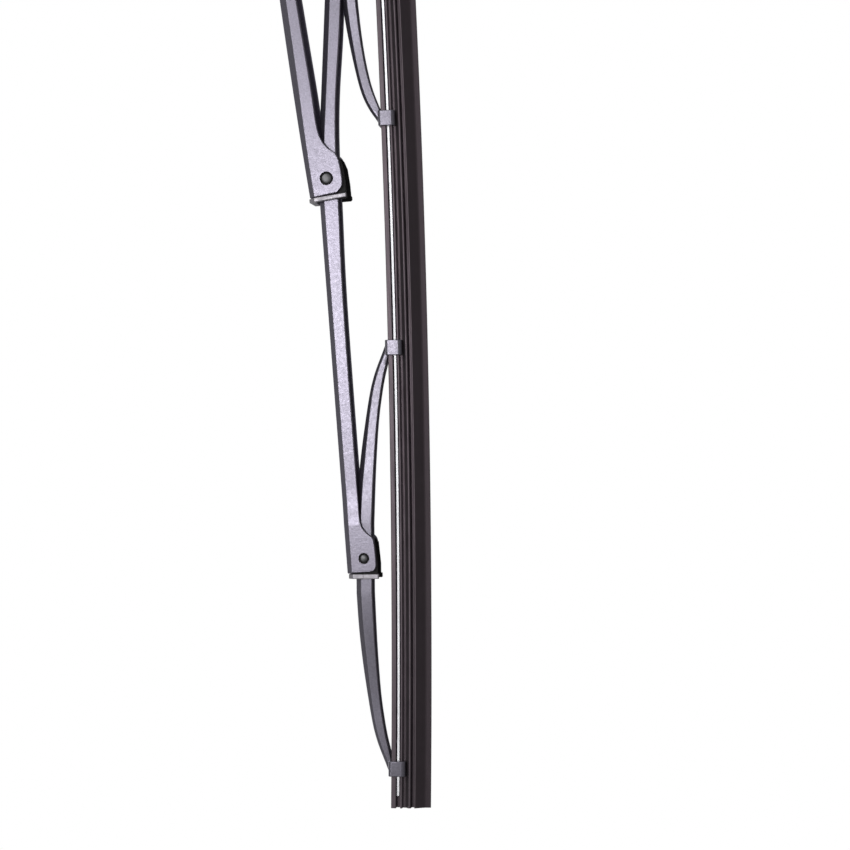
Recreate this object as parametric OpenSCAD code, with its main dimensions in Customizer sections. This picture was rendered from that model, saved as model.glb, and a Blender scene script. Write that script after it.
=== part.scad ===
// Framed windscreen wiper blade: a pressed steel bridge carries two secondary
// levers, each secondary carries two yokes, and the eight claws of the four yokes
// hold a rubber squeegee stiffened by two steel strips (flexors).
// X runs along the blade, Z points away from the glass, Y is across the blade.
// The origin is on the axis of the centre rivet, where the wiper arm holds the blade.

/* [Blade] */
// Length of the rubber from end to end
blade_len = 701; // [600:1:800]
// Radius of the bow that the free blade takes, centred on the lever side
bow_r = 4090; // [3500:10:8000]
// Height of the centre rivet above the top of the rubber head at mid blade
rivet_h = 27.5; // [26:0.5:29]

/* [Lever layout] */
// Distance from mid blade to the pivot of each secondary lever
secondary_s = 170; // [166:1:174]
// Distance from mid blade to the pivot of each inner yoke
yoke_inner_s = 93; // [92:0.5:94]
// Distance from mid blade to the pivot of each outer yoke
yoke_outer_s = 279; // [278:0.5:280]
// Distance from a yoke's pivot to each of its claws
claw_reach = 60.2; // [60:0.1:60.4]
// Height of the secondary's rivet above the rubber head
secondary_rivet_h = 15.8; // [15.6:0.1:16]
// Height of a yoke's rivet above the rubber head
yoke_rivet_h = 7.6; // [7.4:0.1:7.8]

/* [Primary bridge] */
// Outside width of the bridge
primary_w = 14; // [13.5:0.1:14.5]
// Sheet thickness of the bridge
primary_t = 1; // [0.9:0.05:1.1]
// Radius of the bridge's arched back
primary_r = 1850; // [1800:10:1900]
// Height of the bridge's back above the rubber head at mid blade
primary_top = 32.9; // [32.8:0.05:33.1]
// Length of the window that the arm and the adapter go through
window_len = 54; // [50:1:60]
// Width of that window
window_w = 11.8; // [11.6:0.1:11.9]

/* [Secondary levers] */
// Outside width of a secondary lever
secondary_w = 9; // [8.8:0.1:9.2]
// Outside width of its two heads
head_w = 10.4; // [10.3:0.1:10.6]
// Sheet thickness of the secondary levers
secondary_t = 0.9; // [0.8:0.05:0.9]

/* [Yokes] */
// Outside width of a yoke
yoke_w = 7.2; // [7:0.1:7.3]
// Sheet thickness of the yokes
yoke_t = 0.8; // [0.7:0.05:0.9]
// Radius of an outer yoke's arms as they bend down to the claws
yoke_outer_r = 126; // [115:1:135]
// Radius of an inner yoke's arms as they bend down to the claws
yoke_inner_r = 68; // [62:1:75]
// Height of a yoke's back above the rubber head, at its pivot
yoke_top = 10.4; // [10.2:0.1:10.6]
// Outside width of a claw
claw_w = 8.6; // [8.4:0.1:8.8]
// Length of a claw along the rubber
claw_len = 4.4; // [4:0.1:5]

/* [Rubber and flexors] */
// Width of the rubber head
rubber_w = 6.6; // [6.4:0.1:6.7]
// Height of the rubber from head to wiping edge
rubber_h = 11.15; // [10.8:0.05:12]
// Thickness of a flexor strip
flexor_t = 0.75; // [0.7:0.05:1]
// Width of a flexor strip
flexor_w = 2.1; // [1.8:0.1:2.1]
// How far each flexor stops short of the rubber's end
flexor_short = 3.6; // [2:0.1:8]
// Gap left between two neighbouring lengths of rubber, hidden in the claws
length_gap = 1.4; // [1.2:0.1:2]
// Gap at each end of the middle length, which the inner yokes close on as the blade bends
centre_gap = 2.4; // [2.3:0.1:3]

/* [Rivets] */
// Radius of the centre rivet that the adapter turns on
centre_rivet_r = 2.5; // [2:0.1:3]
// Radius of the shank of the primary rivets
primary_rivet_r = 1.4; // [1.3:0.05:1.5]
// Radius of the hole around a primary rivet in the bridge's flank
primary_hole_r = 1.95; // [1.85:0.05:2.1]
// Radius of the shank of the yoke rivets
yoke_rivet_r = 1.05; // [1:0.05:1.15]
// Radius of the hole around a yoke rivet in the secondary's flank
yoke_hole_r = 1.58; // [1.5:0.02:1.7]
// Radius of the side pin bore beside the window
side_pin_r = 2.4; // [2.2:0.1:3.2]

/* [Hidden] */

$fn = 48;
arch_fn = 1440;         // segments of a full turn for the long shallow arches
run = 0.05;             // radial clearance of a lever on its rivet
slip = 0.02;            // clearance between pieces that don't move
chamfer = 1.25;         // pressed shoulder between a lever's back and its flank
paint = [0.12, 0.12, 0.14];
plastic = [0.2, 0.19, 0.2];
steel = [0.85, 0.86, 0.88];
rubber_colour = [0.08, 0.08, 0.09];

// heights above the rubber head at mid blade, along the straight outer arm
secondary_top = 22.3;       // back of the secondary's outer arm
secondary_slope = 0.115;    // slope of its inner arm
inner_end = [88.4, 13.1];   // back of the inner head, at its end
outer_end_x = 282.3;        // end of the outer head
head_len = 14;              // length of the wider head
primary_end_x = 174.6;      // end of the bridge
flange_t = 1.3;             // thickness of a bush's end flange
bush_start_x = 163.6;       // inner end of the bush in the bridge
claw_over = 0.8;            // claw's back above the rubber head
yoke_mid = 30;              // half the length of a yoke's flatter middle
outer_mid_r = 256;          // radius of that middle, on an outer yoke
inner_mid_r = 640;          // and on an inner yoke
claw_play = 0.2;            // room over and under the head inside a claw
claw_hook = 4.05;           // depth of the claw's turned-in edge
hook_t = 0.65;              // thickness of that edge
neck_w = 3;                 // width of the rubber's neck, between the hooks
web_w = 2.2;                // width of the rubber between the two flexors
flexor_z = 2.03;            // depth of the flexors below the top of the rubber head

function deg(arc) = arc / bow_r * 180 / PI;
// the point at distance s along the bow and height h above the rubber head
function bow(s, h) = [(bow_r - h) * sin(deg(s)), bow_r - (bow_r - h) * cos(deg(s))];

module to_origin() translate([0, 0, -rivet_h]) children();

// a drawing in X and Z made into a plate of width w across the blade
module plate(w) rotate([90, 0, 0]) translate([0, 0, -w / 2]) linear_extrude(w) children();

module pin(p, r, w) translate([p[0], 0, p[1]]) rotate([90, 0, 0]) cylinder(r = r, h = w, center = true);

// children drawn at the bow, with X along the rubber and Z away from the glass
module at_bow(s) translate([bow(s, 0)[0], 0, bow(s, 0)[1]]) rotate([0, -deg(s), 0]) children();

module side(k) if (k < 0) mirror([1, 0, 0]) children(); else children();

// a channel of bent sheet: [across, up] with its back at height 0
function channel(w, t, depth) =
    let (a = w / 2, c = chamfer, i = w / 2 - t, k = t * tan(22.5)) [
        [-a, -depth], [-a, -c], [-a + c, 0], [a - c, 0], [a, -c], [a, -depth],
        [i, -depth], [i, -c - k], [a - c - k, -t], [k + c - a, -t], [-i, -c - k], [-i, -depth]
    ];

// a channel swept along an arch whose top is at [x, z], between two angles from upright
module arched(x, z, r, from, to, pts)
    translate([x, 0, z - r]) rotate([90, 0, 0]) rotate([0, 0, 90 - to])
        rotate_extrude(angle = to - from, $fn = arch_fn) polygon([for (p = pts) [r + p[1], p[0]]]);

// the lower edge of the bridge's flank on one side, from mid blade outwards
primary_edge = [
    [0, 19], [34, 19], [40, 20.5], [48, 25.2], [60, 26.9], [90, 26.6], [128, 23.2], [145, 21.6],
    [155, 21], [158.6, 19.9], [161, 18.1], [162.2, 16.3], [163.8, 15.5], [166, 15.1], [170.4, 14.8],
    [171.8, 15.1], [172.8, 15.9], [173.3, 17], [primary_end_x, 24], [primary_end_x, 40]
];

module primary_bridge() color(paint) to_origin() difference() {
    intersection() {
        half = asin(primary_end_x / primary_r) + 0.2;
        arched(0, primary_top, primary_r, -half, half, channel(primary_w, primary_t, 20));
        plate(primary_w + 2) polygon(concat(
            primary_edge,
            [for (i = [len(primary_edge) - 1:-1:1]) [-primary_edge[i][0], primary_edge[i][1]]]));
    }
    for (k = [-1, 1]) side(k) pin(bow(secondary_s, secondary_rivet_h), primary_hole_r, 30);
    pin([0, rivet_h], centre_rivet_r + slip, 30);
    pin([36, rivet_h - 3], side_pin_r, 30);
    translate([-window_len / 2, -window_w / 2, primary_top - 4]) cube([window_len, window_w, 8]);
}

// the rivet that the arm's adapter turns on, headed outside both flanks
module centre_rivet() color(steel) to_origin() {
    pin([0, rivet_h], centre_rivet_r, primary_w + 0.2);
    for (k = [-1, 1]) translate([0, k * (primary_w / 2 + 0.6), 0]) pin([0, rivet_h], 3.6, 1.1);
}

adapter_w = primary_w - 2 * primary_t - 0.6;
cheek_t = 1;
latch_pivot = [-16, 3.2];

// moulded clip that a hooked wiper arm wraps round
module arm_adapter() color(plastic) difference() {
    union() {
        for (k = [-1, 1]) translate([0, k * (adapter_w - cheek_t) / 2, 0]) plate(cheek_t)
            polygon([[-19, -4], [-17, -6], [13, -6], [16, -3], [16, 2], [13, 4.6], [-17, 4.6], [-19, 2.6]]);
        pin([0, 0], 4.2, adapter_w);
        plate(adapter_w) polygon([[-19, -4], [-17, -6], [-9, -6], [-8, -3], [-10, 0.6], [-19, 0.6]]);
    }
    pin([0, 0], centre_rivet_r + run, 30);
    pin(latch_pivot, 1, 30);
}

// sprung tongue that locks the arm in the adapter
module adapter_latch() color(plastic) {
    latch_w = adapter_w - 2 * cheek_t - 0.6;
    pin(latch_pivot, 1 - run, adapter_w - 0.4);
    plate(latch_w) polygon([
        [-17.2, 2.6], [-16.6, 2.1], [-6.4, 2.1], [-5, 2.9], [-5, 4.4], [-7, 4.9], [-9, 4.3],
        [-16.6, 4.3], [-17.2, 3.8]]);
}

// a block of width w along X, with the shoulders of its top cut off as in a pressed channel
module liner(w, from, to, low, top) let (a = w / 2, c = 0.8)
    translate([from, 0, 0]) rotate([90, 0, 90]) linear_extrude(to - from)
        polygon([[-a, low], [-a, top - c], [c - a, top], [a - c, top], [a, top - c], [a, low]]);

// liner of the joint between bridge and secondary, with a flange at its end
module primary_bush(k) color(plastic) to_origin() side(k) difference() {
    wall_w = primary_w - 2 * primary_t - 2 * slip;
    union() {
        liner(wall_w, bush_start_x, primary_end_x + 1, 13.9, 23.3);
        translate([primary_end_x + slip, -primary_w / 2, 14]) cube([flange_t, primary_w, 10.9]);
    }
    translate([150, -secondary_w / 2 - run, 0]) {
        cube([40, secondary_w + 2 * run, 23.45]);
        cube([primary_end_x - 150, secondary_w + 2 * run, 30]);
    }
    pin(bow(secondary_s, secondary_rivet_h), primary_rivet_r + slip, 30);
    for (y = [-1, 1]) translate([170, y * primary_w / 2 - 0.2, 19.1]) cube([20, 0.4, 0.3]);
}

// a shank through both flanks, with a sunk collar in each flank's hole
module rivet(p, shank_r, hole_r, w, t) {
    pin(p, shank_r, w - 0.1);
    for (y = [-1, 1]) translate([0, y * (w / 2 - t / 2 - 0.15), 0]) pin(p, hole_r - slip, t - 0.3);
}

module primary_rivet(k) color(steel) to_origin() side(k)
    rivet(bow(secondary_s, secondary_rivet_h), primary_rivet_r, primary_hole_r, primary_w, primary_t);

// the lower edge of a secondary's head, as [distance from the pivot, height above the rubber]
head_edge = [
    [-9.15, 8.2], [-8, 7.5], [-7, 6.5], [-6.2, 5.3], [-5, 4.6], [1.8, 4], [3.2, 4.3], [3.9, 5.2], [4.1, 9]
];
// the lower edge of the arm where it runs into the head
arm_end_edge = [[-8.15, 7.6], [-10, 8.5], [-12.5, 8.9]];

// a lever with a straight or kinked back: a plate with its inside and both shoulders cut away
module pressed(w, t, back, edge) difference() {
    last = len(back) - 1;
    first_dir = (back[1] - back[0]) / norm(back[1] - back[0]);
    last_dir = (back[last] - back[last - 1]) / norm(back[last] - back[last - 1]);
    low = back[0] - 5 * first_dir - [0, t];
    high = back[last] + 5 * last_dir - [0, t];
    side_of_cut = chamfer * sqrt(2);
    plate(w) polygon(concat(back, edge));
    plate(w - 2 * t) polygon(concat(
        [low - [0, 30], low], last > 1 ? [back[1] - [0, t]] : [], [high, high - [0, 30]]));
    for (i = [0:last - 1], y = [-1, 1]) {
        along = back[i + 1] - back[i];
        translate([back[i][0], y * w / 2, back[i][1]]) rotate([0, -atan2(along[1], along[0]), 0])
            translate([norm(along) / 2, 0, 0]) rotate([45, 0, 0])
                cube([norm(along) + 6, side_of_cut, side_of_cut], center = true);
    }
}

module secondary(k) color(paint) to_origin() side(k) difference() {
    kink = [inner_end[0] + (secondary_top - inner_end[1]) / secondary_slope, secondary_top];
    head_in = inner_end + head_len * [1, secondary_slope];
    head_out = [outer_end_x - head_len, secondary_top];
    outer_end = [outer_end_x, secondary_top];
    last = len(head_edge) - 1;
    union() {
        pressed(secondary_w, secondary_t, [head_in - [1, secondary_slope], kink, head_out + [1, 0]], concat(
            [for (p = arm_end_edge) bow(yoke_outer_s + p[0], p[1])],
            [[235, 17.6], [200, 17.5], [175, 16.6], [160, 16.4], [145, 15.2], [128, 12.7]],
            [for (i = [len(arm_end_edge) - 1:-1:0])
                bow(yoke_inner_s - arm_end_edge[i][0], arm_end_edge[i][1])]));
        pressed(head_w, secondary_t, [inner_end, head_in],
            [for (p = head_edge) bow(yoke_inner_s - p[0], p[1])]);
        pressed(head_w, secondary_t, [head_out, outer_end],
            [for (i = [last:-1:0]) bow(yoke_outer_s + head_edge[i][0], head_edge[i][1])]);
    }
    pin(bow(secondary_s, secondary_rivet_h), primary_rivet_r + run, 30);
    for (s = [yoke_inner_s, yoke_outer_s]) pin(bow(s, yoke_rivet_h), yoke_hole_r, 30);
}

// liner between a secondary's head and its yoke; drawn at the bow, flange outwards
module yoke_bush(k, s, out) color(plastic) to_origin() side(k) at_bow(s) side(out) difference() {
    wall_w = head_w - 2 * secondary_t - 2 * slip;
    union() {
        liner(wall_w, -6, 4.6, 3.6, 11.15);
        translate([4.45, -head_w / 2, 3.4]) cube([flange_t, head_w, 8.7]);
    }
    translate([-20, -yoke_w / 2 - run, 0]) cube([40, yoke_w + 2 * run, 10.8]);
    translate([0, 0, yoke_rivet_h]) rotate([90, 0, 0])
        cylinder(r = yoke_rivet_r + slip, h = 30, center = true);
    for (y = [-1, 1]) translate([4, y * head_w / 2 - 0.2, yoke_rivet_h - 0.15]) cube([5, 0.4, 0.3]);
}

module yoke_rivet(k, s) color(steel) to_origin() side(k)
    rivet(bow(s, yoke_rivet_h), yoke_rivet_r, yoke_hole_r, head_w, secondary_t);

// the lower edge of a yoke's flank, from its pivot to a claw
outer_yoke_edge = [
    [0, 5.8], [8, 5.6], [18, 5.2], [28, 4.7], [40, 3.8], [48, 2.65], [53, 1.6], [57, 1.1], [61, 1.1]
];
inner_yoke_edge = [
    [0, 6.4], [18, 6.2], [28, 5.9], [40, 4.95], [48, 3.7], [52, 2.7], [56, 1.4], [58, 1.1], [61, 1.1]
];

// a claw over the rubber head, with both edges turned in at the neck
module claw() difference() {
    translate([-claw_len / 2, -claw_w / 2, -claw_hook]) cube([claw_len, claw_w, claw_hook + claw_over]);
    translate([-5, -claw_w / 2 + yoke_t, -claw_hook + hook_t])
        cube([10, claw_w - 2 * yoke_t, claw_hook - hook_t + claw_play]);
    translate([-5, -neck_w / 2 - 0.4, -10]) cube([10, neck_w + 0.8, 10]);
}

// a yoke's back: a flat arch in the middle, bending down in a tighter one at each end
module yoke_arch(mid_r, end_r) {
    turn = asin(yoke_mid / mid_r);
    end_x = yoke_mid - end_r * sin(turn);
    end_z = yoke_top + (end_r - mid_r) * (1 - cos(turn));
    tip = asin((claw_reach - end_x) / end_r);
    section = channel(yoke_w, yoke_t, 12);
    arched(0, yoke_top, mid_r, -turn, turn, section);
    arched(end_x, end_z, end_r, turn, tip, section);
    arched(-end_x, end_z, end_r, -tip, -turn, section);
}

module yoke(k, s) color(paint) to_origin() side(k) {
    inner = s == yoke_inner_s;
    edge = inner ? inner_yoke_edge : outer_yoke_edge;
    at_bow(s) difference() {
        intersection() {
            yoke_arch(inner ? inner_mid_r : outer_mid_r, inner ? yoke_inner_r : yoke_outer_r);
            plate(20) polygon(concat(edge, [[61, 30], [-61, 30]],
                [for (i = [len(edge) - 1:-1:1]) [-edge[i][0], edge[i][1]]]));
        }
        translate([0, 0, yoke_rivet_h]) rotate([90, 0, 0])
            cylinder(r = yoke_rivet_r + run, h = 30, center = true);
    }
    for (c = [-1, 1]) at_bow(s + c * claw_reach) claw();
}

// right half of the rubber's section, as [across, depth below the head's top]
rubber_half = [
    [rubber_w / 2, 0], [rubber_w / 2, 1.42], [web_w / 2, 1.42], [web_w / 2, 2.6], [rubber_w / 2, 2.6],
    [rubber_w / 2, 3.2], [neck_w / 2, 3.2], [neck_w / 2, 4.2], [2.9, 5], [2.9, 5.55], [0.6, 5.75],
    [0.6, 6.45], [2.5, 6.6], [2.5, 6.9], [0.62, 9.5], [0.42, rubber_h]
];
rubber_section = concat(
    rubber_half, [for (i = [len(rubber_half) - 1:-1:0]) [-rubber_half[i][0], rubber_half[i][1]]]);

// a section drawn as [across, depth] and swept along the bow from one distance to another
module along_bow(from, to, pts)
    translate([0, 0, bow_r]) rotate([90, 0, 0]) rotate([0, 0, 270 + deg(from)])
        rotate_extrude(angle = deg(to - from), $fn = arch_fn * 2)
            polygon([for (p = pts) [bow_r + p[1], p[0]]]);

// where the rubber is divided: in the claws, and at both ends
function length_from(n) =
    n == "outer" ? yoke_outer_s - claw_reach
    : n == "mid" ? yoke_inner_s + claw_reach
    : yoke_inner_s - claw_reach;
function length_to(n) =
    n == "outer" ? blade_len / 2
    : n == "mid" ? yoke_outer_s - claw_reach
    : yoke_inner_s + claw_reach;

module rubber(k, n) color(rubber_colour) to_origin() side(k)
    along_bow(
        length_from(n) + length_gap / 2, length_to(n) - (n == "outer" ? 0 : length_gap / 2), rubber_section);

module rubber_centre() color(rubber_colour) to_origin()
    along_bow(-length_from("inner") + centre_gap / 2, length_from("inner") - centre_gap / 2, rubber_section);

module flexor_pair(from, to) for (y = [-1, 1])
    along_bow(from, to, [for (p = [[0, 0], [1, 0], [1, 1], [0, 1]])
        [y * (web_w / 2 + 0.05 + p[0] * flexor_w), flexor_z + (p[1] - 0.5) * flexor_t]]);

module flexors(k, n) color(steel) to_origin() side(k)
    flexor_pair(
        length_from(n) + length_gap / 2, length_to(n) - (n == "outer" ? flexor_short : length_gap / 2));

module flexors_centre() color(steel) to_origin()
    flexor_pair(-length_from("inner") + centre_gap / 2, length_from("inner") - centre_gap / 2);

primary_bridge();
centre_rivet();
arm_adapter();
adapter_latch();
primary_bush(-1);  // primary_bush_left
primary_bush(1);  // primary_bush_right
primary_rivet(-1);  // primary_rivet_left
primary_rivet(1);  // primary_rivet_right
secondary(-1);  // secondary_left
secondary(1);  // secondary_right
yoke_bush(-1, yoke_outer_s, 1);  // yoke_bush_outer_left
yoke_bush(-1, yoke_inner_s, -1);  // yoke_bush_inner_left
yoke_bush(1, yoke_inner_s, -1);  // yoke_bush_inner_right
yoke_bush(1, yoke_outer_s, 1);  // yoke_bush_outer_right
yoke_rivet(-1, yoke_outer_s);  // yoke_rivet_outer_left
yoke_rivet(-1, yoke_inner_s);  // yoke_rivet_inner_left
yoke_rivet(1, yoke_inner_s);  // yoke_rivet_inner_right
yoke_rivet(1, yoke_outer_s);  // yoke_rivet_outer_right
yoke(-1, yoke_outer_s);  // yoke_outer_left
yoke(-1, yoke_inner_s);  // yoke_inner_left
yoke(1, yoke_inner_s);  // yoke_inner_right
yoke(1, yoke_outer_s);  // yoke_outer_right
rubber(-1, "outer");  // rubber_outer_left
rubber(-1, "mid");  // rubber_mid_left
rubber(-1, "inner");  // rubber_inner_left
rubber_centre();
rubber(1, "inner");  // rubber_inner_right
rubber(1, "mid");  // rubber_mid_right
rubber(1, "outer");  // rubber_outer_right
flexors(-1, "outer");  // flexors_outer_left
flexors(-1, "mid");  // flexors_mid_left
flexors(-1, "inner");  // flexors_inner_left
flexors_centre();
flexors(1, "inner");  // flexors_inner_right
flexors(1, "mid");  // flexors_mid_right
flexors(1, "outer");  // flexors_outer_right
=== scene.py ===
"""A framed windscreen wiper blade: every visible piece, its finish, the light and the camera.

Shapes are drawn in millimetres in the blade's own frame: X along the blade, Y across it and Z away
from the glass, with the zero height on top of the rubber's head at mid blade. made() turns them into
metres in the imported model's frame, whose origin is on the centre rivet.
"""
import math

import bmesh
import bpy
from mathutils import Matrix, Vector


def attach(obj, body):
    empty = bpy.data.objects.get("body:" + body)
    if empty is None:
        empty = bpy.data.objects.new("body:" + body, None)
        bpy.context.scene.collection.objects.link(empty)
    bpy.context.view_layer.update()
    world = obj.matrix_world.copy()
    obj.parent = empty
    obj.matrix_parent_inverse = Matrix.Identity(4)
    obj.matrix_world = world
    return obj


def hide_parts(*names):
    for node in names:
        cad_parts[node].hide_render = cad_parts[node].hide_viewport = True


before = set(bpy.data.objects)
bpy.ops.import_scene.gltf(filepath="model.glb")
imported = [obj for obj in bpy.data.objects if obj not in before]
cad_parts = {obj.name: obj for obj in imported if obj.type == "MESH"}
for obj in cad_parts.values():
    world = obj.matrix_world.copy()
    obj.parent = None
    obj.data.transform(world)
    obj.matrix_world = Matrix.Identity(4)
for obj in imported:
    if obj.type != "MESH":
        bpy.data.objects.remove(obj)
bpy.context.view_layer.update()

MM = 0.001
MERGE_M, SLIVER_M = 2e-6, 1e-6     # points nearer than this are one, and edges shorter than this go
BORE_REACH = 20                    # how far a bore's cutter stands out each side of the blade

# ---------------------------------------------------------------- driving sizes, as in the CAD model
RIVET_H = 27.5
BOW_R = 4090
HALF_LEN = 350.5
SECONDARY_S = 170
YOKE_S = {"inner": 93, "outer": 279}
CLAW_REACH = 60.2
SECONDARY_RIVET_H = 15.8
YOKE_RIVET_H = 7.6

BRIDGE_W, BRIDGE_T, BRIDGE_R, BRIDGE_TOP, BRIDGE_END = 14, 1.0, 1850, 32.9, 174.6
WINDOW = (54, 11.8)
SECONDARY_W, HEAD_W, SECONDARY_T = 9, 10.4, 0.9
SECONDARY_TOP = 22.3
INNER_END = (88.4, 13.1)
INNER_SLOPE = 0.115
OUTER_END_X = 282.3
HEAD_LEN = 14
FLARE_LEN = 7
YOKE_W, YOKE_T = 7.2, 0.8
CLAW_W, CLAW_LEN, CLAW_HOOK, CLAW_OVER = 8.6, 4.4, 4.05, 0.8

RUBBER_W, NECK_W, WEB_W, RUBBER_H = 6.6, 3.0, 2.2, 11.15
LIP_DEPTH = 6.9                    # the depth at which the ridge ends and the wiping lip starts
TONGUE = 2.5                       # how far a length of rubber reaches into the one before it
FLEXOR_T, FLEXOR_W, FLEXOR_DEPTH, FLEXOR_SHORT = 0.75, 2.1, 2.03, 3.6

CENTRE_RIVET_R = 2.5
SIDE_PIN_R, SIDE_PIN = 2.4, (36, RIVET_H - 3)
BRIDGE_RIVET_R, BRIDGE_HOLE_R = 1.4, 1.95
FIT, RUN = 0.02, 0.05              # clearance on one side: between parts at rest, and parts that turn
YOKE_RIVET_R, YOKE_HOLE_R = 1.05, 1.58

SIDES = {"left": -1, "right": 1}


# ---------------------------------------------------------------- outlines
def bow(s, h):
    """The point at distance s along the rubber's bow and height h above its head."""
    return Vector(((BOW_R - h) * math.sin(s / BOW_R), BOW_R - (BOW_R - h) * math.cos(s / BOW_R)))


def below_bow(x, z):
    """How far a point is below the rubber head's top."""
    return math.hypot(x, BOW_R - z) - BOW_R


def along(start, end, step):
    count = max(1, round(abs(end - start) / step))
    return [start + (end - start) * i / count for i in range(count + 1)]


def eased(x, start, end):
    """0 before start, 1 after end, and smooth between."""
    u = min(1, max(0, (x - start) / (end - start)))
    return u * u * (3 - 2 * u)


def rounded(corners, radii, steps=4):
    """A closed outline with each corner turned into an arc."""
    outline = []
    count = len(corners)
    for i, corner in enumerate(corners):
        radius = radii[i] if isinstance(radii, (list, tuple)) else radii
        here = Vector(corner)
        before = Vector(corners[i - 1]) - here
        after = Vector(corners[(i + 1) % count]) - here
        half = before.angle(after, math.pi) / 2
        if radius <= 0 or half > math.pi / 2 - 0.01:
            outline += [here.copy() for _ in range(steps + 1)]
            continue
        cut = min(radius / math.tan(half), 0.46 * before.length, 0.46 * after.length)
        radius = cut * math.tan(half)
        bisector = (before.normalized() + after.normalized()).normalized()
        centre = here + bisector * (radius / math.sin(half))
        start = here + before.normalized() * cut - centre
        end = here + after.normalized() * cut - centre
        turn = start.angle_signed(end)
        for j in range(steps + 1):
            outline.append(centre + Matrix.Rotation(-turn * j / steps, 2) @ start)
    return outline


def softened(line, times=3):
    """An open line with its corners cut again and again, so that it curves."""
    line = [Vector(p) for p in line]
    for _ in range(times):
        cut = [line[0]]
        for a, b in zip(line, line[1:]):
            cut += [a.lerp(b, 0.25), a.lerp(b, 0.75)]
        line = cut + [line[-1]]
    return line


def both_ways(half):
    """An open line from mid lever outwards, with its mirror image before it."""
    return [Vector((-p.x, p.y)) for p in reversed(half)] + half


def inset(outline, d):
    """The closed outline moved inwards by d."""
    count = len(outline)
    area = sum(outline[i - 1][0] * outline[i][1] - outline[i][0] * outline[i - 1][1] for i in range(count))
    sign = 1 if area > 0 else -1
    moved = []
    for i, here in enumerate(outline):
        here = Vector(here)
        a, b = i - 1, (i + 1) % count
        while (Vector(outline[a]) - here).length < 1e-5:
            a -= 1
        while (Vector(outline[b]) - here).length < 1e-5:
            b = (b + 1) % count
        before = (here - Vector(outline[a])).normalized()
        after = (Vector(outline[b]) - here).normalized()
        normal = Vector((-before.y - after.y, before.x + after.x)) * sign
        normal.normalize()
        slant = max(0.4, normal.dot(Vector((-before.y, before.x)) * sign))
        moved.append(here + normal * d / slant)
    return moved


def reach(start, down, line):
    """How far it is from start, going down, to the line."""
    nearest = None
    for a, b in zip(line, line[1:]):
        edge = b - a
        across = down.x * edge.y - down.y * edge.x
        if abs(across) < 1e-9:
            continue
        gap = a - start
        t = (gap.x * edge.y - gap.y * edge.x) / across
        u = (gap.x * down.y - gap.y * down.x) / across
        if t > 0.3 and -1e-6 <= u <= 1 + 1e-6 and (nearest is None or t < nearest):
            nearest = t
    return nearest


# ---------------------------------------------------------------- meshes as (points, faces)
def loft(rings):
    """Rings of as many points each, skinned in order and closed at both ends."""
    count = len(rings[0])
    points = [Vector(p) for ring in rings for p in ring]
    faces = []
    for r in range(len(rings) - 1):
        for i in range(count):
            j = (i + 1) % count
            faces.append((r * count + i, r * count + j, (r + 1) * count + j, (r + 1) * count + i))
    faces.append(tuple(reversed(range(count))))
    faces.append(tuple(range((len(rings) - 1) * count, len(rings) * count)))
    return points, faces


def prism(outline, low, high, bevel, place):
    """A closed outline extruded from low to high, with both rims rounded."""
    rings = []
    arc = [(bevel * (1 - math.sin(a)), bevel * (1 - math.cos(a))) for a in (0, 0.39, 0.785, 1.18, 1.571)]
    for back, along_by in arc:
        rings.append([place(p, low + along_by) for p in inset(outline, back)])
    for back, along_by in reversed(arc):
        rings.append([place(p, high - along_by) for p in inset(outline, back)])
    return loft(rings)


def bar(outline, low, high, bevel=0.2):
    """An outline in Y and Z extruded along X."""
    return prism(outline, low, high, bevel, lambda p, x: (x, p[0], p[1]))


def plate(outline, low, high, bevel=0.2):
    """An outline in X and Z extruded along Y."""
    return prism(outline, low, high, bevel, lambda p, y: (p[0], y, p[1]))


def turned(profile, at, steps=48):
    """A profile of [radius, place along Y] turned about an axis along Y through at."""
    rings = []
    for radius, y in profile:
        ring = []
        for i in range(steps):
            a = 2 * math.pi * i / steps
            ring.append((at[0] + radius * math.cos(a), y, at[1] + radius * math.sin(a)))
        rings.append(ring)
    return loft(rings)


def bore(at, radius, steps=48):
    """A cutter for a round hole right across the blade."""
    return turned([(radius, -BORE_REACH), (radius, BORE_REACH)], at, steps)


def joined(*shells):
    """Several closed shapes as one."""
    points, faces = [], []
    for shell_points, shell_faces in shells:
        faces += [tuple(i + len(points) for i in face) for face in shell_faces]
        points += [Vector(p) for p in shell_points]
    return points, faces


def mirrored(shell):
    """A shape turned end for end."""
    points, faces = shell
    return [Vector((-p[0], p[1], p[2])) for p in points], [tuple(reversed(face)) for face in faces]


def at_bow(shell, s):
    """A shape drawn around the bow's middle, moved to distance s along it."""
    points, faces = shell
    origin, angle = bow(s, 0), s / BOW_R
    turn = Matrix.Rotation(-angle, 3, "Y")
    shift = Vector((origin.x, 0, origin.y))
    return [turn @ Vector(p) + shift for p in points], faces


# ---------------------------------------------------------------- Blender objects
def made(name, shell):
    """A Blender object from a shape, its closest points merged."""
    points, faces = shell
    mesh = bpy.data.meshes.new(name)
    mesh.from_pydata([(p[0] * MM, p[1] * MM, (p[2] - RIVET_H) * MM) for p in points], [], faces)
    work = bmesh.new()
    work.from_mesh(mesh)
    bmesh.ops.remove_doubles(work, verts=work.verts, dist=MERGE_M)
    bmesh.ops.dissolve_degenerate(work, edges=work.edges, dist=SLIVER_M)
    bmesh.ops.recalc_face_normals(work, faces=work.faces)
    work.to_mesh(mesh)
    work.free()
    obj = bpy.data.objects.new(name, mesh)
    bpy.context.scene.collection.objects.link(obj)
    return obj


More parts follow.
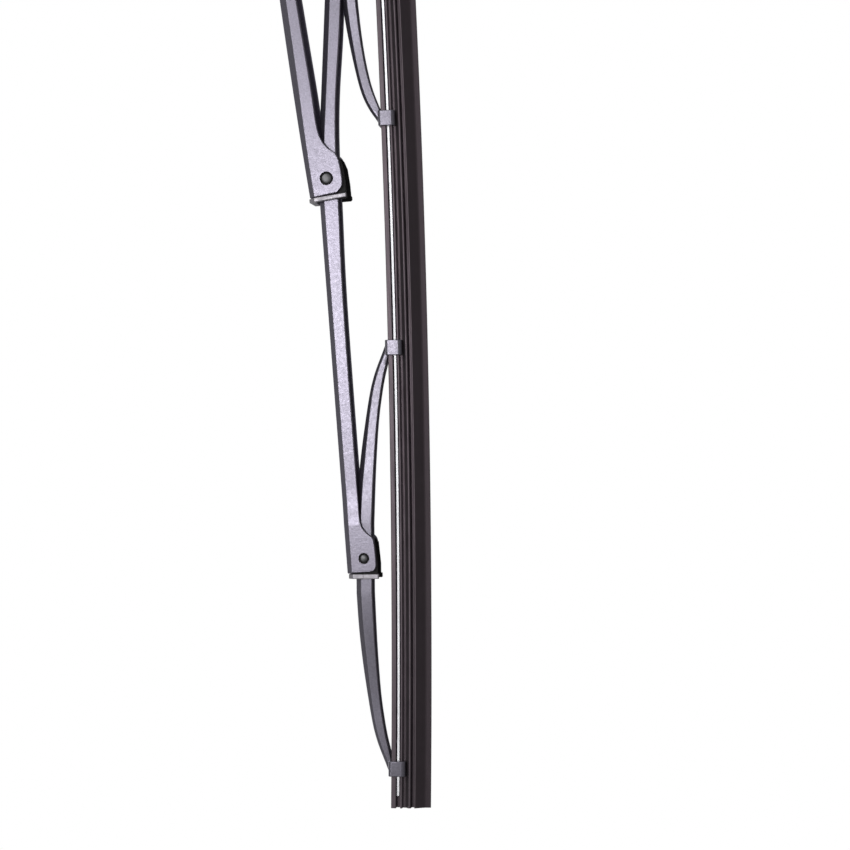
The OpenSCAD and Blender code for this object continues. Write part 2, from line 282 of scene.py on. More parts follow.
def combined(obj, shells, operation="DIFFERENCE"):
    """Cuts the shells out of an object, or joins them to it, and closes any sliver that is left open."""
    tools = []
    for number, shell in enumerate(shells):
        tool = made(f"{obj.name}_tool_{number}", shell)
        change = obj.modifiers.new(f"change_{number}", "BOOLEAN")
        change.object = tool
        change.operation = operation
        change.solver = "EXACT"
        tools.append(tool)
    graph = bpy.context.evaluated_depsgraph_get()
    mesh = bpy.data.meshes.new_from_object(obj.evaluated_get(graph))
    obj.modifiers.clear()
    obj.data = mesh
    for tool in tools:
        bpy.data.objects.remove(tool)
    work = bmesh.new()
    work.from_mesh(mesh)
    bmesh.ops.holes_fill(work, edges=[edge for edge in work.edges if edge.is_boundary])
    work.to_mesh(mesh)
    work.free()
    return obj


def welded(obj, shells):
    """Adds closed shells that run into the object's metal, as a weld or a fold leaves them."""
    work = bmesh.new()
    work.from_mesh(obj.data)
    for number, shell in enumerate(shells):
        part = made(f"{obj.name}_part_{number}", shell)
        work.from_mesh(part.data)
        bpy.data.objects.remove(part)
    work.to_mesh(obj.data)
    work.free()
    return obj


def to_side(obj, side):
    """Mirrors a part, drawn on the right, if it belongs on the left."""
    if side == "left":
        obj.data.transform(Matrix.Scale(-1, 4, (1, 0, 0)))
        obj.data.flip_normals()
    return obj


def finished(obj, material, body, nodes, sharp=38):
    """Shades a piece, smooth up to an angle of sharp degrees, and puts it on its body."""
    obj.data.materials.clear()
    obj.data.materials.append(material)
    for polygon in obj.data.polygons:
        polygon.use_smooth = True
        polygon.material_index = 0
    obj.data.set_sharp_from_angle(angle=math.radians(sharp))
    shading = obj.modifiers.new("flat_faces_stay_flat", "WEIGHTED_NORMAL")
    shading.keep_sharp = True
    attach(obj, body)
    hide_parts(*nodes)
    return obj


# ---------------------------------------------------------------- materials
# Noise scales are per metre: 2000 gives a grain of about half a millimetre.
def shader(name, colour, roughness, metallic=0.0, coat=0.0):
    material = bpy.data.materials.new(name)
    material.use_nodes = True
    tree = material.node_tree
    surface = tree.nodes["Principled BSDF"]
    surface.inputs["Base Color"].default_value = (*colour, 1)
    surface.inputs["Roughness"].default_value = roughness
    surface.inputs["Metallic"].default_value = metallic
    surface.inputs["Coat Weight"].default_value = coat
    surface.inputs["Coat Roughness"].default_value = 0.25
    place = tree.nodes.new("ShaderNodeTexCoord")
    return material, tree, surface, place.outputs["Object"]


def noise(tree, place, scale, detail=3.0, stretch=None):
    if stretch:
        mapping = tree.nodes.new("ShaderNodeMapping")
        mapping.inputs["Scale"].default_value = stretch
        tree.links.new(place, mapping.inputs["Vector"])
        place = mapping.outputs["Vector"]
    node = tree.nodes.new("ShaderNodeTexNoise")
    node.inputs["Scale"].default_value = scale
    node.inputs["Detail"].default_value = detail
    tree.links.new(place, node.inputs["Vector"])
    return node.outputs["Fac"]


def ramp(tree, value, stops):
    node = tree.nodes.new("ShaderNodeValToRGB")
    stops = [(at, colour if isinstance(colour, tuple) else (colour,) * 3) for at, colour in stops]
    while len(node.color_ramp.elements) < len(stops):
        node.color_ramp.elements.new(0.5)
    for element, (position, colour) in zip(node.color_ramp.elements, stops):
        element.position = position
        element.color = (*colour, 1)
    tree.links.new(value, node.inputs["Fac"])
    return node.outputs["Color"]


def bumps(tree, surface, layers):
    """layers: (height, strength, distance in metres) one over the other."""
    normal = None
    for height, strength, distance in layers:
        node = tree.nodes.new("ShaderNodeBump")
        node.inputs["Strength"].default_value = strength
        node.inputs["Distance"].default_value = distance
        tree.links.new(height, node.inputs["Height"])
        if normal:
            tree.links.new(normal, node.inputs["Normal"])
        normal = node.outputs["Normal"]
    tree.links.new(normal, surface.inputs["Normal"])


def paint(name, light, dark, roughness):
    """Baked dark paint with fine orange peel, a metallic speckle and slow clouds of lighter tone."""
    material, tree, surface, place = shader(name, light, roughness, metallic=0.85, coat=0.15)
    cloud = noise(tree, place, 45, 4)
    peel = noise(tree, place, 2000, 2)
    grain = noise(tree, place, 2300, 2)
    both = tree.nodes.new("ShaderNodeMath")
    both.operation = "MULTIPLY_ADD"
    factor, share, added = both.inputs
    share.default_value = 0.35
    tree.links.new(cloud, factor)
    tree.links.new(grain, added)
    colour = ramp(tree, both.outputs[0], [(0.48, dark), (0.88, light)])
    tree.links.new(colour, surface.inputs["Base Color"])
    sheen = ramp(tree, noise(tree, place, 1100, 3), [(0.3, roughness - 0.025), (0.7, roughness + 0.035)])
    tree.links.new(sheen, surface.inputs["Roughness"])
    bumps(tree, surface, [(peel, 0.24, 0.00008)])
    return material


def plastic(name, colour, roughness, metallic=0.0):
    """Moulded plastic with a fine spark-eroded grain."""
    material, tree, surface, place = shader(name, colour, roughness, metallic)
    light = tuple(c * 1.25 for c in colour)
    tree.links.new(ramp(tree, noise(tree, place, 160, 4), [(0.35, colour), (0.7, light)]),
                   surface.inputs["Base Color"])
    tree.links.new(ramp(tree, noise(tree, place, 900, 2), [(0.3, roughness - 0.08), (0.7, roughness + 0.1)]),
                   surface.inputs["Roughness"])
    bumps(tree, surface, [(noise(tree, place, 6000, 2), 0.3, 0.00003)])
    return material


def steel(name, colour, roughness, grain):
    """Bare steel with marks drawn out along the blade, or turned ones where grain is even."""
    material, tree, surface, place = shader(name, colour, roughness, metallic=1.0)
    lines = noise(tree, place, 1, 4, grain)
    dull = tuple(c * 0.82 for c in colour)
    tree.links.new(ramp(tree, lines, [(0.3, dull), (0.65, colour)]), surface.inputs["Base Color"])
    tree.links.new(ramp(tree, lines, [(0.3, roughness - 0.06), (0.7, roughness + 0.1)]),
                   surface.inputs["Roughness"])
    bumps(tree, surface, [(lines, 0.15, 0.00001)])
    return material


def rubber_material(name, plain, bloomed):
    """Matt black rubber with a dusty bloom and faint marks of extrusion along the blade."""
    material, tree, surface, place = shader(name, plain, 0.4)
    surface.inputs["IOR"].default_value = 2.1
    surface.inputs["Specular Tint"].default_value = (1, 0.82, 0.92, 1)
    bloom = noise(tree, place, 220, 5)
    tree.links.new(ramp(tree, bloom, [(0.4, plain), (0.75, bloomed)]), surface.inputs["Base Color"])
    tree.links.new(ramp(tree, noise(tree, place, 1, 3, (60, 2500, 2500)), [(0.3, 0.36), (0.7, 0.46)]),
                   surface.inputs["Roughness"])
    bumps(tree, surface, [(noise(tree, place, 1, 3, (40, 3500, 3500)), 0.3, 0.00004)])
    return material


BRIDGE_PAINT = paint("bridge_paint", (0.38, 0.36, 0.435), (0.29, 0.277, 0.335), 0.3)
# The yokes' paint is the bridge's paint made a little darker: painted shade for their duller look under this
# light.
SHADED_YOKE_PAINT = paint("yoke_paint", (0.34, 0.325, 0.385), (0.26, 0.25, 0.3), 0.3)
BUSH_PLASTIC = plastic("bush_plastic", (0.55, 0.53, 0.57), 0.4, 0.75)
# Near black for the rivets' recesses and the bushes' inner walls: painted shade, darker than the lamps make
# them.
PAINTED_SHADE_BLACK = plastic("painted_shade_black", (0.012, 0.011, 0.012), 0.6)
ADAPTER_PLASTIC = plastic("adapter_plastic", (0.035, 0.035, 0.037), 0.42)
RIVET_STEEL = steel("rivet_steel", (0.26, 0.26, 0.27), 0.4, (900, 900, 900))
FLEXOR_STEEL = steel("flexor_steel", (0.9, 0.9, 0.93), 0.28, (20, 1500, 1500))
RUBBER = rubber_material("rubber", (0.062, 0.055, 0.06), (0.09, 0.08, 0.087))
LIP_RUBBER = rubber_material("rubber_lip", (0.009, 0.007, 0.0085), (0.017, 0.0135, 0.016))


# ---------------------------------------------------------------- pressed levers
MITRE = 0.414      # how much further in a 45 degree shoulder starts on the inside, for each unit of sheet
LEAST_FOLD = 0.05  # the least that is left of the shoulder on the inside


def channel(w, t, shoulder, depth, thin=0.0):
    """A channel of bent sheet, [across, down], with rounded shoulders and edges.

    t is the sheet's thickness and shoulder the slanted corner's size. Thin takes that much off all round.
    """
    a, i = w / 2 - thin, w / 2 - t + thin
    c = min(shoulder, 0.5 * depth)
    back = min(t, 0.6 * depth) - thin
    knee = max(back + LEAST_FOLD, min(c + t * MITRE, depth - 0.35))
    fold = min(a - c - MITRE * t, i - LEAST_FOLD)
    foot = thin - depth
    corners = [
        (-a, foot), (-a, -c), (c - a, -thin), (a - c, -thin), (a, -c), (a, foot),
        (i, foot), (i, -knee), (fold, -back), (-fold, -back), (-i, -knee), (-i, foot)]
    edge, bend, inside = 0.3 * t, 0.45, 0.3
    return rounded(corners, [edge, bend, bend, bend, bend, edge, edge, inside, inside, inside, inside, edge])


def lever(stations, edge, t, rim=0.22):
    """A channel along its stations, each (back point, up, width, shoulder), down to the lower edge.

    The sheet's own end faces are bevelled by rim.
    """
    rings = []
    last = len(stations) - 1
    depth = 0
    for number, (back, up, w, shoulder) in enumerate(stations):
        found = reach(back, -up, edge)
        depth = found if found else depth
        thin = rim if number in (0, last) else 0.0
        outline = channel(w, t, shoulder, depth, thin)
        rings.append([(back.x + p.y * up.x, p.x, back.y + p.y * up.y) for p in outline])
    return loft(rings)


BRIDGE_EDGE = [
    (34, 19), (40, 20.5), (48, 25.2), (60, 26.9), (90, 26.6), (128, 23.2), (145, 21.6),
    (155, 21), (158.6, 19.9), (161, 18.1), (162.2, 16.3), (163.8, 15.5), (166, 15.1), (170.2, 14.75),
    (171.6, 14.95), (172.6, 15.5), (173.2, 16.4), (176, 17.2)]


def primary_bridge():
    edge = both_ways(softened(BRIDGE_EDGE, 2))
    places = along(0, 34, 3.4) + along(36, 64, 1) + along(68, 152, 4) + along(153, 174, 0.5)
    places += [BRIDGE_END - 0.22, BRIDGE_END]
    places = [-x for x in reversed(places[1:])] + places
    stations = []
    for x in places:
        angle = math.asin(x / BRIDGE_R)
        back = Vector((x, BRIDGE_TOP - BRIDGE_R * (1 - math.cos(angle))))
        lean = 1.35 * angle
        shoulder = 2.1 - 0.65 * eased(abs(x), 130, 172)
        stations.append((back, Vector((math.sin(lean), math.cos(lean))), BRIDGE_W, shoulder))
    obj = made("primary_bridge_pressing", lever(stations, edge, BRIDGE_T))
    holes = []
    for k in SIDES.values():
        at = bow(SECONDARY_S, SECONDARY_RIVET_H)
        holes.append(bore((k * at.x, at.y), BRIDGE_HOLE_R))
    holes.append(bore((0, RIVET_H), CENTRE_RIVET_R + FIT))
    holes.append(bore(SIDE_PIN, SIDE_PIN_R))
    a, b = WINDOW[0] / 2, WINDOW[1] / 2
    window = rounded([(-a, -b), (a, -b), (a, b), (-a, b)], 1.2, 6)  # in X and Y
    holes.append(prism(window, BRIDGE_TOP - 4, BRIDGE_TOP + 4, 0.01, lambda p, z: (p[0], p[1], z)))
    combined(obj, holes)
    return finished(obj, BRIDGE_PAINT, "bridge", ["primary_bridge"])


HEAD_EDGE = [
    (-9.15, 8.2), (-8, 7.5), (-7, 6.5), (-6.2, 5.3), (-5, 4.6), (1.8, 4), (3.0, 4.25), (3.7, 5.1), (4.0, 9)]
ARM_END_EDGE = [(-12.5, 8.9), (-10, 8.5)]
ARM_EDGE = [(128, 12.7), (145, 15.2), (160, 16.4), (175, 16.6), (200, 17.5), (235, 17.6)]


def secondary(side):
    kink = Vector((INNER_END[0] + (SECONDARY_TOP - INNER_END[1]) / INNER_SLOPE, SECONDARY_TOP))
    rise = math.atan(INNER_SLOPE)
    outer = [bow(YOKE_S["outer"] + u, h) for u, h in ARM_END_EDGE + HEAD_EDGE]
    inner = [bow(YOKE_S["inner"] - u, h) for u, h in reversed(ARM_END_EDGE + HEAD_EDGE)]
    edge = softened([Vector((INNER_END[0] - 0.2, 16))] + inner + [Vector(p) for p in ARM_EDGE] + outer
                    + [Vector((OUTER_END_X + 0.3, 24))], 2)
    places = [INNER_END[0], INNER_END[0] + 0.22] + along(88.8, 104.5, 0.45)
    places += along(106, 160, 4) + along(162, 176, 1) + along(180, 262, 4)
    places += along(264, 281.9, 0.45) + [OUTER_END_X - 0.22, OUTER_END_X]
    stations = []
    for x in places:
        turn = eased(x, kink.x - 6, kink.x + 6)
        slope = rise * (1 - turn)
        straight = SECONDARY_TOP - max(0, kink.x - x) * INNER_SLOPE
        drop = 0.17 * max(0, 1 - abs(x - kink.x) / 6) ** 2
        inside = min(x - INNER_END[0], OUTER_END_X - x)
        wide = min(1, max(0, (HEAD_LEN + FLARE_LEN - inside) / FLARE_LEN))
        w = SECONDARY_W + (HEAD_W - SECONDARY_W) * wide
        shoulder = 1.75 - 0.3 * eased(x, 130, 190)
        up = Vector((-math.sin(slope), math.cos(slope)))
        stations.append((Vector((x, straight - drop)), up, w, shoulder))
    obj = made(f"secondary_{side}_pressing", lever(stations, edge, SECONDARY_T))
    holes = []
    for s, h, radius in (
            (SECONDARY_S, SECONDARY_RIVET_H, BRIDGE_RIVET_R + RUN),
            (YOKE_S["inner"], YOKE_RIVET_H, YOKE_HOLE_R), (YOKE_S["outer"], YOKE_RIVET_H, YOKE_HOLE_R)):
        holes.append(bore(bow(s, h), radius))
    to_side(combined(obj, holes), side)
    return finished(obj, BRIDGE_PAINT, f"secondary_{side}", [f"secondary_{side}"])


YOKE_EDGE = {
    "outer": [(8, 5.6), (18, 5.2), (28, 4.7), (40, 3.8), (48, 2.65), (52, 1.9), (55, 1.15), (58, 0.45),
              (61, 0.3)],
    "inner": [(8, 6.35), (18, 6.2), (28, 5.9), (40, 4.95), (48, 3.7), (52, 2.7), (55, 1.7), (58, 0.6),
              (61, 0.3)]}
YOKE_BACK = {
    "outer": [(10, 10.2), (20, 9.65), (30, 8.65), (40, 7.2), (48, 5.85), (52, 4.8), (55, 3.75), (58, 2.55),
              (60.4, 1.6), (61.6, 1.1)],
    "inner": [(10, 10.4), (20, 10.3), (30, 9.7), (40, 8.3), (48, 6.9), (52, 6), (55, 5), (58, 3.5),
              (60.4, 1.9), (61.6, 1.2)]}


def claw_outline():
    """The claw's section across the blade: a loop over the rubber head with both edges turned in."""
    a, t, gap = CLAW_W / 2, YOKE_T, NECK_W / 2 + 0.4
    hook = 0.65
    corners = [
        (-gap, -CLAW_HOOK), (-a, -CLAW_HOOK), (-a, CLAW_OVER),
        (a, CLAW_OVER), (a, -CLAW_HOOK), (gap, -CLAW_HOOK),
        (gap, hook - CLAW_HOOK), (a - t, hook - CLAW_HOOK), (a - t, 0.2), (t - a, 0.2),
        (t - a, hook - CLAW_HOOK), (-gap, hook - CLAW_HOOK)]
    return rounded(corners, [0.28, 1.25, 1.0, 1.0, 1.25, 0.28, 0.28, 0.4, 0.25, 0.25, 0.4, 0.28], 6)


def yoke(side, place):
    edge = both_ways(softened(YOKE_EDGE[place], 2))
    backs = both_ways(softened(YOKE_BACK[place], 3))
    stations = []
    for number, back in enumerate(backs):
        ahead = backs[min(number + 1, len(backs) - 1)] - backs[max(number - 1, 0)]
        out = abs(back.x)
        lean = -0.55 * math.atan2(ahead.y, ahead.x) * (1 - eased(out, 46, 57))
        w = YOKE_W - 2.0 * eased(out, 8, 45)
        shoulder = 1.5 - 0.6 * eased(out, 25, 50)
        stations.append((back, Vector((math.sin(lean), math.cos(lean))), w, shoulder))
    arm = lever(stations, edge, YOKE_T, 0.15)
    s = YOKE_S[place]
    obj = made(f"yoke_{place}_{side}_pressing", at_bow(arm, s))
    combined(obj, [bore(bow(s, YOKE_RIVET_H), YOKE_RIVET_R + RUN)])
    claw = bar(claw_outline(), -CLAW_LEN / 2, CLAW_LEN / 2, 0.22)
    to_side(welded(obj, [at_bow(claw, s + c * CLAW_REACH) for c in (-1, 1)]), side)
    return finished(obj, SHADED_YOKE_PAINT, f"yoke_{place}_{side}", [f"yoke_{place}_{side}"])


# ---------------------------------------------------------------- bushes and rivets
def liner_outline(w, wall, low, top, opening_top, shoulder):
    """An upside-down U in Y and Z: a bush's wall or its flange."""
    a, i = w / 2, w / 2 - wall
    corners = [(-a, low), (-a, top - shoulder), (shoulder - a, top),
               (a - shoulder, top), (a, top - shoulder), (a, low),
               (i, low), (i, opening_top), (-i, opening_top), (-i, low)]
    return rounded(corners, [0.3, 0.4, 0.4, 0.4, 0.4, 0.3, 0.25, 0.3, 0.3, 0.25])


def leaned(shell, from_z, amount):
    """Leans a shape along X, the more the further it is from a height."""
    points, faces = shell
    return [Vector((p[0] + (p[2] - from_z) * amount, p[1], p[2])) for p in points], faces


def seam(x, w, z):
    """The thin slit between the halves of a flange, on both flanks."""
    half, deep = 0.12, 0.25
    outline = [(x - 1, z - half), (x + 4, z - half), (x + 4, z + half), (x - 1, z + half)]
    return [plate(outline, y - deep, y + deep, 0.001) for y in (-w / 2, w / 2)]


def second_material_on(obj, material, where):
    """Gives a second material to the faces whose middle, in millimetres, passes where: painted shade black
    on rivets and bush walls, and darker rubber below the lip's depth.
    """
    obj.data.materials.append(material)
    for polygon in obj.data.polygons:
        if where(polygon.center / MM):
            polygon.material_index = 1
    return obj


def primary_bush(side):
    wall_w = BRIDGE_W - 2 * BRIDGE_T - 2 * FIT
    gap = SECONDARY_W / 2 + RUN
    lean = 0.085
    end = BRIDGE_END + 0.7
    corners = [(161.6, 21), (163.2, 15.6), (166, 14.6), (170.4, 14.2), (end, 14.1), (end, 22.4), (163, 22.4)]
    cheek = rounded(corners, [0.8, 1.5, 2, 1, 0.3, 0.3, 1])
    flange = leaned(bar(liner_outline(BRIDGE_W, BRIDGE_W / 2 - gap, 14, 24.9, 23.4, 1.6),
                        BRIDGE_END + 0.12, BRIDGE_END + 1.3, 0.2), 24.9, lean)
    obj = made(f"primary_bush_{side}_moulding", flange)
    combined(obj, [plate(cheek, gap, wall_w / 2, 0.15), plate(cheek, -wall_w / 2, -gap, 0.15)], "UNION")
    hole = bore(bow(SECONDARY_S, SECONDARY_RIVET_H), BRIDGE_RIVET_R + FIT)
    to_side(combined(obj, [hole] + seam(BRIDGE_END, BRIDGE_W, 19.25)), side)
    finished(obj, BUSH_PLASTIC, "bridge", [f"primary_bush_{side}"])
    return second_material_on(obj, PAINTED_SHADE_BLACK, lambda p: gap - 0.1 < abs(p.y) < wall_w / 2 + 0.1)  # its two walls, black as painted shade under the near flank


def yoke_bush(side, place):
    s = YOKE_S[place]
    wall_w = HEAD_W - 2 * SECONDARY_T - 2 * FIT
    gap = YOKE_W / 2 + RUN
    corners = [(-6, 11), (-6, 6.2), (-4.6, 4.4), (1.8, 3.75), (5, 3.75), (5, 11)]
    cheek = rounded(corners, [0.3, 1, 1, 0.5, 0.2, 0.3])
    flange = bar(liner_outline(HEAD_W, HEAD_W / 2 - gap, 3.4, 12.1, 10.8, 1.3), 4.5, 5.85, 0.2)
    holes = [bore((0, YOKE_RIVET_H), YOKE_RIVET_R + FIT)]
    holes += seam(4.6, HEAD_W, YOKE_RIVET_H)

    def placed(shell):
        return at_bow(shell if place == "outer" else mirrored(shell), s)

    obj = made(f"yoke_bush_{place}_{side}_moulding", placed(flange))
    walls = [plate(cheek, gap, wall_w / 2, 0.12), plate(cheek, -wall_w / 2, -gap, 0.12)]
    combined(obj, [placed(wall) for wall in walls], "UNION")
    to_side(combined(obj, [placed(hole) for hole in holes]), side)
    finished(obj, BUSH_PLASTIC, f"secondary_{side}", [f"yoke_bush_{place}_{side}"])
    return second_material_on(obj, PAINTED_SHADE_BLACK, lambda p: gap - 0.1 < abs(p.y) < wall_w / 2 + 0.1)  # its two walls, black as painted shade under the near flank


COLLAR = 0.5       # the depth below the lever's flank from which a rivet is painted black, as painted shade in its recess


def rivet_shell(at, radius, hole, w):
    """A solid rivet through both flanks: a low domed head in a sunk collar at each end."""
    dome = 0.3
    head = []
    for i in range(7):
        a = math.pi / 2 * i / 6
        head.append((max(0.02, radius * 1.02 * math.sin(a)), w / 2 - dome + dome * math.cos(a) - 0.05))
    half = head + [(radius * 1.02, w / 2 - 0.62), (hole - 0.02, w / 2 - 0.66), (hole - 0.02, w / 2 - 0.78),
                   (radius, w / 2 - 0.84)]
    return turned(half + [(r, -y) for r, y in reversed(half)], at, 40)


def rivet(name, k, at, radius, hole, w, body):
    """A rivet on the side that k says, where at is its place on the right."""
    obj = made(f"{name}_turned", rivet_shell((k * at.x, at.y), radius, hole, w))
    finished(obj, RIVET_STEEL, body, [name])
    # Painted shade: the rivet's sunk collar and shank are black, darker than the lamps would make them.
    return second_material_on(obj, PAINTED_SHADE_BLACK, lambda p: abs(p.y) < w / 2 - COLLAR)


def centre_rivet():
    w = BRIDGE_W / 2
    profile = [(0.02, w + 1.15), (1.2, w + 1.12), (2.4, w + 0.98), (3.2, w + 0.72), (3.55, w + 0.42),
               (3.6, w + 0.15), (3.5, w + 0.06), (CENTRE_RIVET_R, w + 0.05)]
    profile = profile + [(r, -y) for r, y in reversed(profile)]
    obj = made("centre_rivet_turned", turned(profile, (0, RIVET_H), 64))
    return finished(obj, RIVET_STEEL, "bridge", ["centre_rivet"])


# ---------------------------------------------------------------- arm adapter and its latch
ADAPTER_W = BRIDGE_W - 2 * BRIDGE_T - 0.6
CHEEK_T = 1
LATCH_PIVOT = (-16, RIVET_H + 3.2)


def lifted(outline):
    """An outline drawn around the centre rivet, in the blade's own frame."""
    return [(x, z + RIVET_H) for x, z in outline]


def arm_adapter():
    corners = [(-19, -4), (-17, -6), (13, -6), (16, -3), (16, 2), (13, 4.6), (-17, 4.6), (-19, 2.6)]
    cheek = rounded(lifted(corners), 1.4, 5)
    corners = [(-18.95, -4), (-17, -5.95), (-9, -5.95), (-8, -3), (-10, 0.6), (-18.95, 0.6)]
    block = rounded(lifted(corners), 0.8, 5)
    half = ADAPTER_W / 2
    obj = made("arm_adapter_moulding", plate(cheek, half - CHEEK_T, half, 0.25))
    profile = [(3.9, 0.3 - half), (4.2, 0.6 - half), (4.2, half - 0.6), (3.9, half - 0.3)]
    boss = turned(profile, (0, RIVET_H), 64)
    other_cheek = plate(cheek, -half, CHEEK_T - half, 0.25)
    combined(obj, [other_cheek, plate(block, 0.3 - half, half - 0.3, 0.2), boss], "UNION")
    combined(obj, [bore((0, RIVET_H), CENTRE_RIVET_R + RUN), bore(LATCH_PIVOT, 1, 32)])
    return finished(obj, ADAPTER_PLASTIC, "adapter", ["arm_adapter"])


def adapter_latch():
    tongue = rounded(lifted([
        (-17.2, 2.6), (-16.6, 2.1), (-6.4, 2.1), (-5, 2.9), (-5, 4.4), (-7, 4.9), (-9, 4.3), (-16.6, 4.3),
        (-17.2, 3.8)]), 0.5, 4)
    half = ADAPTER_W / 2 - CHEEK_T - 0.3
    obj = made("adapter_latch_moulding", plate(tongue, -half, half, 0.25))
    end = ADAPTER_W / 2 - 0.2
    pin = turned([(0.8, -end), (0.95, 0.15 - end), (0.95, end - 0.15), (0.8, end)], LATCH_PIVOT, 32)
    rib = [(0.25, 0.6 - half), (0.25, half - 0.6)]
    ribs = [turned(rib, (x, RIVET_H + 4.35), 16) for x in (-12, -11, -10)]
    combined(obj, [pin] + ribs, "UNION")
    return finished(obj, ADAPTER_PLASTIC, "latch", ["adapter_latch"])


# ---------------------------------------------------------------- rubber and flexors
RUBBER_HALF = [
    (RUBBER_W / 2, 0, 0.3), (RUBBER_W / 2, 1.42, 0.2), (WEB_W / 2, 1.42, 0.1), (WEB_W / 2, 2.6, 0.1),
    (RUBBER_W / 2, 2.6, 0.15), (RUBBER_W / 2, 3.2, 0.2), (NECK_W / 2, 3.2, 0.1), (NECK_W / 2, 4.2, 0.6),
    (2.9, 5, 0.25), (2.9, 5.55, 0.25), (0.6, 5.75, 0.15), (0.6, 6.45, 0.15),
    (2.5, 6.6, 0.15), (2.5, 6.9, 0.15), (0.62, 9.5, 1.5), (0.42, RUBBER_H, 0.04)]


def swept(outline, start, end, step=6, tongue=0):
    """An outline of [across, depth below the rubber head's top] swept along the bow.

    A tongue is a slightly thinner stretch before the start, which fills the joint with the length before
    it while the blade flexes.
    """
    thinner = inset(outline, 0.03)
    sections = [(start - tongue, thinner), (start, thinner)] if tongue else []
    sections += [(s, outline) for s in along(start, end, step)]
    rings = []
    for s, section in sections:
        ring = []
        for y, depth in section:
            at = bow(s, -depth)
            ring.append((at.x, y, at.y))
        rings.append(ring)
    return loft(rings)


def rubber_outline():
    both = RUBBER_HALF + [(-y, depth, radius) for y, depth, radius in reversed(RUBBER_HALF)]
    return rounded([(y, depth) for y, depth, _ in both], [radius for _, _, radius in both], 3)


def flexor_outline(k):
    low = WEB_W / 2 + 0.05
    a, b = FLEXOR_DEPTH - FLEXOR_T / 2, FLEXOR_DEPTH + FLEXOR_T / 2
    slant = 0.16
    corners = [(k * low, a), (k * (low + FLEXOR_W - slant), a), (k * (low + FLEXOR_W), b), (k * low, b)]
    return rounded(corners, 0.1, 3)


LENGTHS = [("centre", None, -YOKE_S["inner"] + CLAW_REACH, YOKE_S["inner"] - CLAW_REACH)]
for _side in SIDES:
    LENGTHS += [
        ("inner", _side, YOKE_S["inner"] - CLAW_REACH, YOKE_S["inner"] + CLAW_REACH),
        ("mid", _side, YOKE_S["inner"] + CLAW_REACH, YOKE_S["outer"] - CLAW_REACH),
        ("outer", _side, YOKE_S["outer"] - CLAW_REACH, HALF_LEN)]


def refill_length(place, side, start, end):
    tail = f"{place}_{side}" if side else place
    body = f"refill_{tail}" if place in ("centre", "mid") else f"yoke_{tail}"
    tongue = 0 if place == "centre" else TONGUE
    obj = made(f"rubber_{tail}_extrusion", swept(rubber_outline(), start, end, tongue=tongue))
    finished(to_side(obj, side), RUBBER, body, [f"rubber_{tail}"], 30)
    second_material_on(obj, LIP_RUBBER, lambda p: below_bow(p.x, p.z + RIVET_H) > LIP_DEPTH)
    short = FLEXOR_SHORT if place == "outer" else 0
    strips = joined(*[swept(flexor_outline(y), start, end - short) for y in (-1, 1)])
    obj = made(f"flexors_{tail}_strips", strips)
    finished(to_side(obj, side), FLEXOR_STEEL, body, [f"flexors_{tail}"])


# ---------------------------------------------------------------- the whole blade
def build_blade():
    primary_bridge()
    centre_rivet()
    arm_adapter()
    adapter_latch()
    for side, k in SIDES.items():
        primary_bush(side)
        rivet(f"primary_rivet_{side}", k, bow(SECONDARY_S, SECONDARY_RIVET_H), BRIDGE_RIVET_R, BRIDGE_HOLE_R,
              BRIDGE_W, "bridge")
        secondary(side)
        for place, s in YOKE_S.items():
            yoke(side, place)
            yoke_bush(side, place)
            rivet(f"yoke_rivet_{place}_{side}", k, bow(s, YOKE_RIVET_H), YOKE_RIVET_R, YOKE_HOLE_R,
                  HEAD_W, f"secondary_{side}")
    for length in LENGTHS:
        refill_length(*length)


# ---------------------------------------------------------------- camera, floor and light
def camera():
    """Looks square at the blade's flank, from a little below it, with the blade's end pointing down."""
    tilt, turn = math.radians(4.38), math.radians(6)
    target, distance, width = Vector((0.2416, 0.004, -0.0307)), 0.75, 0.2424
    up = Vector((-math.cos(tilt), 0, -math.sin(tilt)))
    level = Vector((math.sin(tilt), 0, -math.cos(tilt)))
    right = level * math.cos(turn) + Vector((0, -1, 0)) * math.sin(turn)
    back = right.cross(up)
    data = bpy.data.cameras.new("camera")
    data.sensor_width = 36
    data.lens = 36 * distance / width
    data.clip_start = 0.05
    obj = bpy.data.objects.new("camera", data)
    bpy.context.scene.collection.objects.link(obj)
    obj.matrix_world = Matrix((right, up, back)).transposed().to_4x4()
    obj.location = target + back * distance
    bpy.context.scene.camera = obj
    return obj


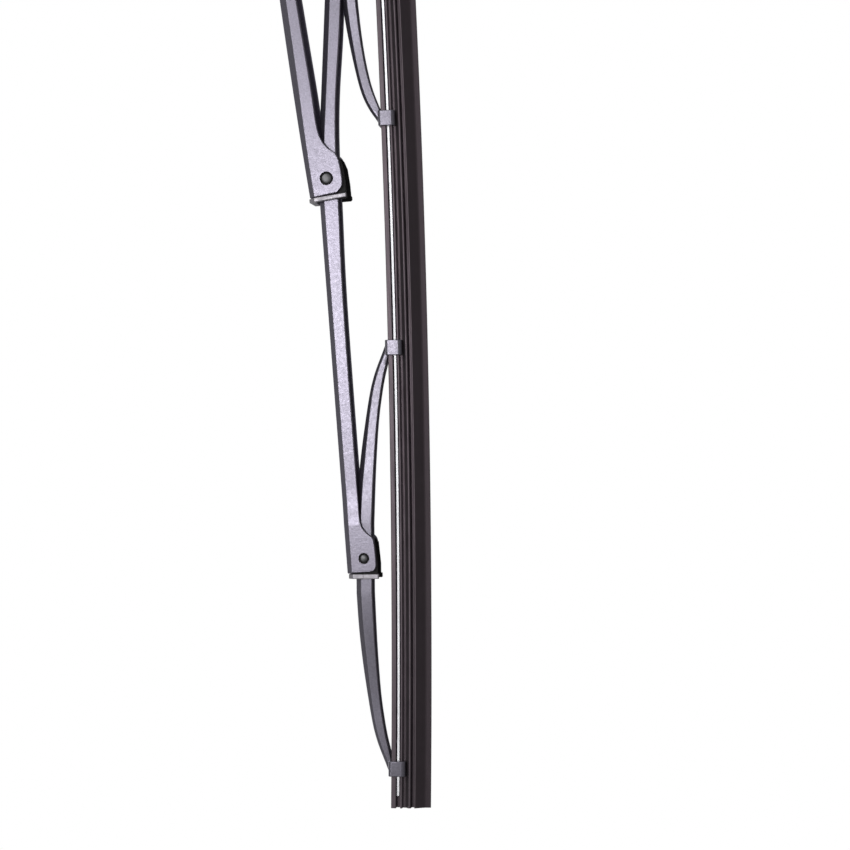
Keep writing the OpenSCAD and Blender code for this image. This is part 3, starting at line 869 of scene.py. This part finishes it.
def floor():
    """Plain and pale to the camera, and dimmer in the light that it throws back on the blade."""
    mesh = bpy.data.meshes.new("floor")
    wide, behind, before, low = 4, -1.2, 4, -0.25
    corners = [(-wide, behind, low), (wide, behind, low), (wide, before, low), (-wide, before, low)]
    mesh.from_pydata(corners, [], [(0, 1, 2, 3)])
    obj = bpy.data.objects.new("floor", mesh)
    bpy.context.scene.collection.objects.link(obj)
    material, tree, surface, place = shader("floor", (0.34, 0.34, 0.34), 0.8)
    colour = ramp(tree, noise(tree, place, 3, 2), [(0.3, 0.32), (0.7, 0.36)])
    tree.links.new(colour, surface.inputs["Base Color"])
    path = tree.nodes.new("ShaderNodeLightPath")
    surface.inputs["Emission Color"].default_value = (0.72, 0.72, 0.72, 1)
    tree.links.new(path.outputs["Is Camera Ray"], surface.inputs["Emission Strength"])
    mesh.materials.append(material)


def area_light(name, place, target, width, height, watts, colour=(1, 1, 1)):
    data = bpy.data.lights.new(name, "AREA")
    data.shape = "RECTANGLE"
    data.size, data.size_y = width, height
    data.energy = watts
    data.color = colour
    obj = bpy.data.objects.new(name, data)
    bpy.context.scene.collection.objects.link(obj)
    obj.location = place
    obj.rotation_euler = (Vector(target) - Vector(place)).to_track_quat("-Z", "Y").to_euler()
    return obj


def studio():
    """White to the eye, grey as a light, and softboxes before and above the blade."""
    world = bpy.data.worlds.new("studio")
    world.use_nodes = True
    tree = world.node_tree
    background = tree.nodes["Background"]
    path = tree.nodes.new("ShaderNodeLightPath")
    strength = tree.nodes.new("ShaderNodeMix")
    strength.data_type = "FLOAT"
    factor, as_light, as_seen = strength.inputs[0], strength.inputs[2], strength.inputs[3]
    as_light.default_value = 0.19
    as_seen.default_value = 1.0
    tree.links.new(path.outputs["Is Camera Ray"], factor)
    background.inputs["Color"].default_value = (1, 1, 1, 1)
    tree.links.new(strength.outputs[0], background.inputs["Strength"])
    bpy.context.scene.world = world
    area_light("key", (0.15, 1.1, 0.155), (0.15, 0, -0.02), 0.16, 0.2, 1.15, (1, 0.98, 1))
    area_light("rim", (0.24, 0.95, 0.54), (0.24, 0, -0.02), 0.75, 0.12, 0.7)
    area_light("low", (0.2, 0.26, -0.235), (0.2, 0, -0.02), 0.9, 0.12, 0.04)
    area_light("fill", (-0.9, 1.8, 0.9), (-0.1, 0, 0), 1.2, 1.2, 8)
    area_light("back", (0.3, -1.6, 0.9), (0.1, 0, 0), 1.6, 1.2, 8)
    bpy.context.scene.view_settings.view_transform = "Standard"


camera()
floor()
studio()
build_blade()
